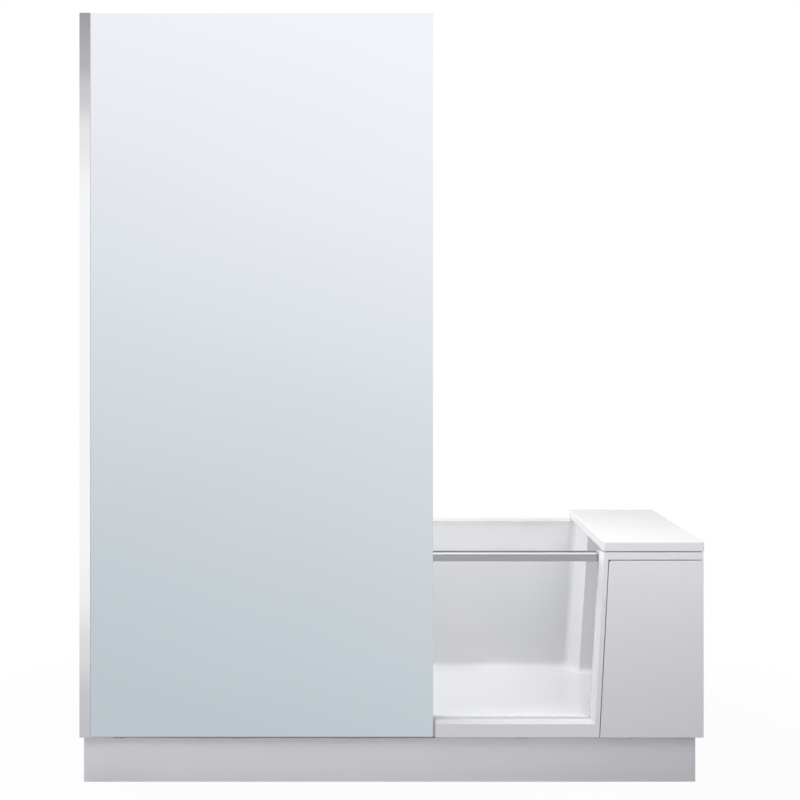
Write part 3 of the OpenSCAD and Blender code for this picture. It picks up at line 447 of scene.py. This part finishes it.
def frame_steel():
    """Zinc spangle: flat patches of slightly different grey."""
    m = Mat("galvanised", Metallic=1.0)
    patches = m.add("ShaderNodeTexVoronoi", {
        "Vector": m.place, "Scale": 70}).outputs
    m.colour(m.ramp(patches["Color"], [
        (0.1, rgb(160, 163, 167)), (0.9, rgb(186, 189, 193))]))
    m.rough(m.spread(patches["Distance"], 0.38, 0.52, 0.0, 0.8))
    return m.bump(m.noise(140, 3), 0.06, 0.0003)


def door_clear():
    """Clear toughened glass with a faint green body; lamps pass through."""
    m = Mat("clear_glass", Transmission_Weight=1.0, IOR=1.4, Roughness=0.0)
    m.colour(m.ramp(m.noise(3, 2), [
        (0.3, rgb(249, 250, 250)), (0.7, rgb(251, 251, 251))]))
    shadow = m.add("ShaderNodeLightPath").outputs["Is Shadow Ray"]
    gap = m.add("ShaderNodeBsdfTransparent", {"Color": rgb(245, 246, 246)})
    m.put(m.surface, m.mix_shaders(
        shadow, m.shader.outputs[0], gap.outputs[0]))
    return m


def metal(name, light, dark, rough, scale, stretch=None):
    """Plain metal with a fine grain."""
    m = Mat(name, Metallic=1.0)
    grain = m.noise(scale, 3, 0.6, stretch)
    m.colour(m.ramp(grain, [(0.25, rgb(*dark)), (0.75, rgb(*light))]))
    m.rough(m.spread(grain, rough * 0.8, rough * 1.3))
    return m.bump(grain, 0.05, 0.0002)


METALS = {
    # look: material, light, dark, roughness, scale and stretch of its grain
    "fitting_chrome": ("chrome", (222, 223, 226), (214, 215, 219), 0.07, 60),
    "stile_aluminium": (
        "anodised", (206, 207, 210), (196, 197, 201), 0.36, 60, (8, 8, 0.4)),
    "fastener_steel": ("zinc", (190, 192, 196), (170, 172, 178), 0.36, 90),
}

# ------------------------------------------- materials: rubber, plastic, wood


def rubber(name, light, dark, rough, scale):
    """Rubber or plain plastic with a fine, soft grain."""
    m = Mat(name, Specular_IOR_Level=0.35)
    grain = m.noise(scale, 4, 0.6)
    m.colour(m.ramp(grain, [(0.3, rgb(*dark)), (0.7, rgb(*light))]))
    m.rough(m.spread(grain, rough * 0.9, rough * 1.1))
    return m.bump(grain, 0.12, 0.0004)


RUBBERS = {
    # look: material, light, dark, roughness, scale of its grain
    "seal_rubber": (
        "grey_rubber", (120, 121, 124), (110, 111, 114), 0.6, 160),
    "seal_clear": ("pale_seal", (249, 249, 250), (246, 246, 248), 0.35, 160),
    "pale_gasket": (
        "pale_gasket", (226, 227, 230), (219, 220, 223), 0.45, 160),
    "bead": ("silicone", (190, 191, 194), (183, 184, 187), 0.4, 160),
    "pad_rubber": ("black_rubber", (58, 58, 60), (48, 48, 50), 0.7, 160),
    "trim_grey": ("grey_trim", (128, 129, 132), (118, 119, 122), 0.45, 160),
    "nylon_dark": ("dark_nylon", (62, 62, 65), (54, 54, 57), 0.5, 120),
    "pipe_plastic": (
        "grey_pipe", (222, 223, 224), (214, 215, 217), 0.4, 60),
}


def cable_sheath():
    """Dark plastic over a wound wire, which shows as fine rings."""
    m = Mat("cable_sheath", Specular_IOR_Level=0.4)
    wear = m.noise(40, 3, 0.6)
    m.colour(m.ramp(wear, [(0.3, rgb(52, 52, 55)), (0.7, rgb(66, 66, 69))]))
    m.rough(m.spread(wear, 0.38, 0.5))
    rings = m.add("ShaderNodeTexWave", {"Vector": m.place, "Scale": 260},
                  wave_type="BANDS", bands_direction="DIAGONAL")
    return m.bump(rings.outputs["Fac"], 0.25, 0.0003)


def board_wood():
    """Resin-coated chipboard: pressed flakes of several browns."""
    m = Mat("chipboard")
    flakes = m.add("ShaderNodeTexVoronoi", {
        "Vector": m.stretched((1, 1.7, 6)), "Scale": 150}).outputs
    chips = m.ramp(flakes["Color"], [
        (0.0, rgb(158, 132, 96)), (0.5, rgb(190, 162, 120)),
        (1.0, rgb(212, 188, 148))])
    m.colour(m.mix(m.noise(5, 3), chips, rgb(184, 158, 118)))
    m.rough(m.spread(m.noise(30, 3), 0.5, 0.7))
    return m.bump(flakes["Distance"], 0.15, 0.0006)


MATS = {look: metal(*settings) for look, settings in METALS.items()}
for look, settings in RUBBERS.items():
    MATS[look] = rubber(*settings)
# Each of these is named after the look that it makes
for make in (tub_acrylic, surround_white, panel_white, lid_white,
             plinth_white, screen_mirror, profile_chrome, rail_chrome,
             frame_steel, door_clear, cable_sheath, board_wood):
    MATS[make.__name__] = make()

# A node looks as its slot in the record says, but for two
LOOK_OF = {s["node"]: s["material_slot"] for s in frame["record"]["subparts"]}
LOOK_OF["profile_gasket"] = "pale_gasket"
LOOK_OF["skirt_brackets"] = "trim_grey"       # dark grey as painted shade, a shadow line in the gap below the screen

# --------------------------------------------------------- the CAD's own nodes

EDGE_RADIUS = 0.0005              # of a node that isn't listed here
EDGE_RADIUS_OF = {
    "lid": 0.0022, "door_surround": 0.0012, "front_panel": 0.0014,
    "end_panel": 0.0014, "screen_glass": 0.0011, "door_glass": 0.0009,
    "plinth_front": 0.0012, "plinth_end": 0.0012, "tub_shell": 0.003,
    "wall_profile": 0.0006, "profile_gasket": 0.0002, "lid_pads": 0.0006,
}

# Faces count as one where they turn by less than this many degrees
FLAT_TURN = 0.4
FLAT_TURN_OF = {"tub_shell": 3.0}

# Edges are rounded where they turn by more than this many degrees
ROUND_TURN = 35
ROUND_TURN_OF = {"tub_shell": 50, "drain_plug": 12}

# How far smooth shading follows the large faces; 50 is neutral
NORMAL_WEIGHT = 60
NORMAL_WEIGHT_OF = {"tub_shell": 95}

# Round all over, with no edges to round
PIPES = ("overflow_pipe", "lift_cable", "trap_body", "overflow_elbow")

# Each face drawn this much further in, so that none lies in a seal's
SLIMMER_BY = {"door_glass": 0.00005}

WELD_DISTANCE = 1e-5


def round_edges(name, node):
    """Joins a node's flat faces and rounds the edges between them."""
    flat = node.modifiers.new("flat", "DECIMATE")
    flat.decimate_type = "DISSOLVE"
    flat.angle_limit = math.radians(FLAT_TURN_OF.get(name, FLAT_TURN))
    bevel = node.modifiers.new("edges", "BEVEL")
    bevel.width = EDGE_RADIUS_OF.get(name, EDGE_RADIUS)
    bevel.segments = 3
    bevel.limit_method = "ANGLE"
    bevel.angle_limit = math.radians(ROUND_TURN_OF.get(name, ROUND_TURN))
    bevel.miter_outer = "MITER_ARC"


def dress(name, node):
    """Gives a CAD node its material, rounded edges and smooth shading."""
    node.data.materials.clear()
    node.data.materials.append(MATS[LOOK_OF[name]].material)
    for poly in node.data.polygons:
        poly.use_smooth = True
    weld = node.modifiers.new("weld", "WELD")
    weld.merge_threshold = WELD_DISTANCE
    if name not in PIPES:
        round_edges(name, node)
    if name in SLIMMER_BY:
        gap = node.modifiers.new("gap", "DISPLACE")
        gap.strength = -SLIMMER_BY[name]
        gap.mid_level = 0.0
    normals = node.modifiers.new("normals", "WEIGHTED_NORMAL")
    normals.keep_sharp = True
    normals.weight = NORMAL_WEIGHT_OF.get(name, NORMAL_WEIGHT)


for node_name, node in sorted(NODES.items()):
    dress(node_name, node)


def stand(name, data):
    """Puts data into the scene as a new object."""
    thing = bpy.data.objects.new(name, data)
    bpy.context.scene.collection.objects.link(thing)
    return thing


# ---------------------------------------------------- bead beside the screen

SCREEN_GAP = 0.006                # between the screen's edge and the sill
BEAD_HEIGHT = 0.044
BEAD_CLEAR = 0.0001               # from what it lies between
BEAD_FOOT = 0.0005                # above the surround's lower edge
BEAD_SET_BACK = 0.00035           # behind the screen's front
BEAD_TUCK = 0.00075               # behind the screen's back
BEAD_HOLLOW = 0.0012
BEAD_RIPPLE, RIPPLE_TURNS = 0.0002, 900       # metres, radians per metre


def bead_row(mesh, left, right, face, back, z):
    """The bead's outline at one height: its hollow face, then its back."""
    steps = 8
    ripple = BEAD_RIPPLE * math.sin(RIPPLE_TURNS * z)
    row = []
    for i in range(steps + 1):
        t = 2 * i / steps - 1
        x = left + (right - left) * i / steps
        y = face + BEAD_HOLLOW * (1 - t * t) + ripple
        row.append(mesh.verts.new((x, y, z)))
    for x in (right, left):
        row.append(mesh.verts.new((x, back, z)))
    return row


def end_bead():
    """The silicone bead between the screen's free edge and the surround's
    sill, hollowed a little as a finger leaves it."""
    (_, front, _), (edge, rear, _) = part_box("screen_glass")
    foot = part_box("door_surround")[0].z + BEAD_FOOT
    left, right = edge + BEAD_CLEAR, edge + SCREEN_GAP - BEAD_CLEAR
    face, back = front + BEAD_SET_BACK, rear + BEAD_TUCK
    steps = 16
    mesh = bmesh.new()
    rows = [bead_row(mesh, left, right, face, back,
                     foot + BEAD_HEIGHT * j / steps)
            for j in range(steps + 1)]
    for a, b in zip(rows, rows[1:]):
        for i in range(len(a)):
            k = (i + 1) % len(a)
            mesh.faces.new((a[i], a[k], b[k], b[i]))
    mesh.faces.new(list(reversed(rows[0])))
    mesh.faces.new(rows[-1])
    bmesh.ops.recalc_face_normals(mesh, faces=mesh.faces)
    data = bpy.data.meshes.new("screen_end_bead")
    mesh.to_mesh(data)
    mesh.free()
    for poly in data.polygons:
        poly.use_smooth = len(poly.vertices) == 4
    data.materials.append(MATS["bead"].material)
    bead = stand("screen_end_bead", data)
    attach(bead, "root")


end_bead()

# ------------------------------------------------------------- the lift cable

# The route that the CAD's cable takes
CABLE_RADIUS = 0.0025
CABLE_X, CABLE_Y = -0.815227, 0.032       # of its drop
CABLE_TOP, CABLE_LOW = 0.545, 0.097
CABLE_BEND, CABLE_END = 0.055, -0.485     # radius of the bend, X of its end
DROP_STEPS, BEND_STEPS, RUN_STEPS = 8, 12, 6


def cable_route():
    """Down beside the overflow pipe, round its bend and along."""
    bend_top = CABLE_LOW + CABLE_BEND
    bend_end = CABLE_X + CABLE_BEND
    drop = [(CABLE_X, CABLE_TOP + (bend_top - CABLE_TOP) * i / DROP_STEPS)
            for i in range(DROP_STEPS + 1)]
    turns = [math.pi / 2 * i / BEND_STEPS for i in range(1, BEND_STEPS)]
    bend = [(CABLE_X + CABLE_BEND * (1 - math.cos(turn)),
             CABLE_LOW + CABLE_BEND * (1 - math.sin(turn)))
            for turn in turns]
    run = [(bend_end + (CABLE_END - bend_end) * i / RUN_STEPS, CABLE_LOW)
           for i in range(RUN_STEPS + 1)]
    return [Vector((x, CABLE_Y, z)) for x, z in drop + bend + run]


def lift_cable():
    """The plug's lift cable, from the overflow's gland into the trap."""
    points = cable_route()
    data = bpy.data.curves.new("lift_cable_sheath", "CURVE")
    data.dimensions = "3D"
    data.bevel_depth = CABLE_RADIUS
    data.bevel_resolution = 5
    data.use_fill_caps = True
    line = data.splines.new("POLY")
    line.points.add(len(points) - 1)
    for point, co in zip(line.points, points):
        point.co = (*co, 1)
    line.use_smooth = True
    data.materials.append(MATS["cable_sheath"].material)
    cable = stand("lift_cable_sheath", data)
    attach(cable, "root")
    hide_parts("lift_cable")


lift_cable()

# ------------------------------------------------------------ floor and light

FLOOR_REACH = 30.0                # from the middle to each side
FLOOR_DROP = 0.0005               # keeps the floor clear of the feet's soles
FLOOR_COLOUR = (0.56, 0.555, 0.57, 1.0)
SHADOW_FADE = (0.9, 1.9)          # the soft shadow ends between these
GLOW_NEAR = 0.965                 # share of plain white within the first
FOOTPRINT = (("X", RIGHT - 0.02), ("Y", BACK - 0.025))        # half sizes
FOOTPRINT_EDGE = 0.04

SKY_LOW, SKY_HIGH = 0.86, 0.0     # strength at the horizon and overhead
SKY_COLOUR = (0.97, 0.975, 1.0, 1.0)


def floor_look():
    """White for the camera and in gloss, with the object's soft shadow.
    Under the object, within its footprint, the floor only takes light."""
    look = bpy.data.materials.new("floor")
    g = Graph(look)
    place = g.add("ShaderNodeTexCoord").outputs["Object"]
    reach = g.vector("LENGTH", place, out="Value")
    fade = g.spread(reach, GLOW_NEAR, 1.0, *SHADOW_FADE, "SMOOTHSTEP")
    beside = g.most(*(g.step(g.math("ABSOLUTE", g.part(place, axis)),
                             half - FOOTPRINT_EDGE, half)
                      for axis, half in FOOTPRINT))
    glowing = g.math("MULTIPLY", g.seen(), g.math("MULTIPLY", fade, beside))
    lit = g.add("ShaderNodeBsdfDiffuse", {"Color": FLOOR_COLOUR})
    glow = g.add("ShaderNodeEmission", {"Color": WHITE, "Strength": 1.0})
    g.add("ShaderNodeOutputMaterial", {"Surface": g.mix_shaders(
        glowing, lit.outputs[0], glow.outputs[0])})
    return look


def floor():
    r = FLOOR_REACH
    mesh = bpy.data.meshes.new("floor")
    mesh.from_pydata([(-r, -r, 0), (r, -r, 0), (r, r, 0), (-r, r, 0)],
                     [], [(0, 1, 2, 3)])
    mesh.materials.append(floor_look())
    plane = stand("floor", mesh)
    plane.location.z = -FLOOR_DROP


def world():
    """A pale sky that fades upwards; plain white where a ray sees it."""
    sky = bpy.data.worlds.new("studio")
    bpy.context.scene.world = sky
    g = Graph(sky)
    way = g.add("ShaderNodeTexCoord").outputs["Generated"]
    strength = g.spread(g.part(way, "Z"), SKY_LOW, SKY_HIGH, 0.0, 1.0)
    light = g.add("ShaderNodeBackground", {
        "Color": SKY_COLOUR, "Strength": strength})
    white = g.add("ShaderNodeBackground", {"Color": WHITE, "Strength": 1.0})
    g.add("ShaderNodeOutputWorld", {"Surface": g.mix_shaders(
        g.seen(), light.outputs[0], white.outputs[0])})


def lamp(name, place, target, size, watts):
    """A soft box that lights the object and shows nowhere itself."""
    data = bpy.data.lights.new(name, "AREA")
    data.shape = "RECTANGLE"
    data.size, data.size_y = size
    data.energy = watts
    box = stand(name, data)
    box.location = place
    aim = Vector(target) - Vector(place)
    box.rotation_euler = aim.to_track_quat("-Z", "Y").to_euler()
    box.visible_glossy = False
    box.visible_camera = False


LAMPS = {
    # name: place, target, size, watts
    "left_high": ((-1.6, -0.1, 2.0), (0.5, 0.0, 0.4), (0.7, 0.5), 14.6),
    "left_low": ((-1.9, 0.0, 1.35), (0.5, 0.0, 0.45), (0.5, 0.4), 7),
    "left_rear": ((-1.2, 0.5, 2.6), (0.3, 0.0, 0.3), (0.9, 0.7), 13.5),
    "overhead": ((-0.6, 0.1, 1.7), (0.3, 0.1, 0.3), (0.6, 0.5), 5.3),
    "front_top": ((0.5, -1.0, 1.9), (0.5, -0.37, 0.5), (0.8, 0.5), 8.3),
    "front_left": ((-1.6, -1.6, 1.6), (0.3, -0.37, 0.4), (0.8, 0.6), 7.6),
    "front_right": ((1.2, -1.9, 2.2), (0.3, -0.37, 0.4), (1.0, 0.7), 9.1),
}
floor()
world()
for lamp_name, settings in LAMPS.items():
    lamp(lamp_name, *settings)

# --------------------------------------------------------------------- camera

EYE_X, EYE_HEIGHT = 0.022, 1.177
FRONT_DISTANCE = 3.65             # from the eye to the front face
VIEW_WIDTH = 2.176                # seen at the front face
VIEW_SHIFT = -0.06                # the frame reaches further down than up


def photo_camera():
    """A level camera at the photograph's place, looking along +Y."""
    data = bpy.data.cameras.new("camera")
    data.lens = data.sensor_width * FRONT_DISTANCE / VIEW_WIDTH
    data.shift_y = VIEW_SHIFT
    data.clip_end = 100
    camera = stand("camera", data)
    camera.location = (EYE_X, FRONT - FRONT_DISTANCE, EYE_HEIGHT)
    camera.rotation_euler = (math.radians(90), 0, 0)
    return camera


bpy.context.scene.camera = photo_camera()
bpy.context.scene.view_settings.view_transform = "Standard"
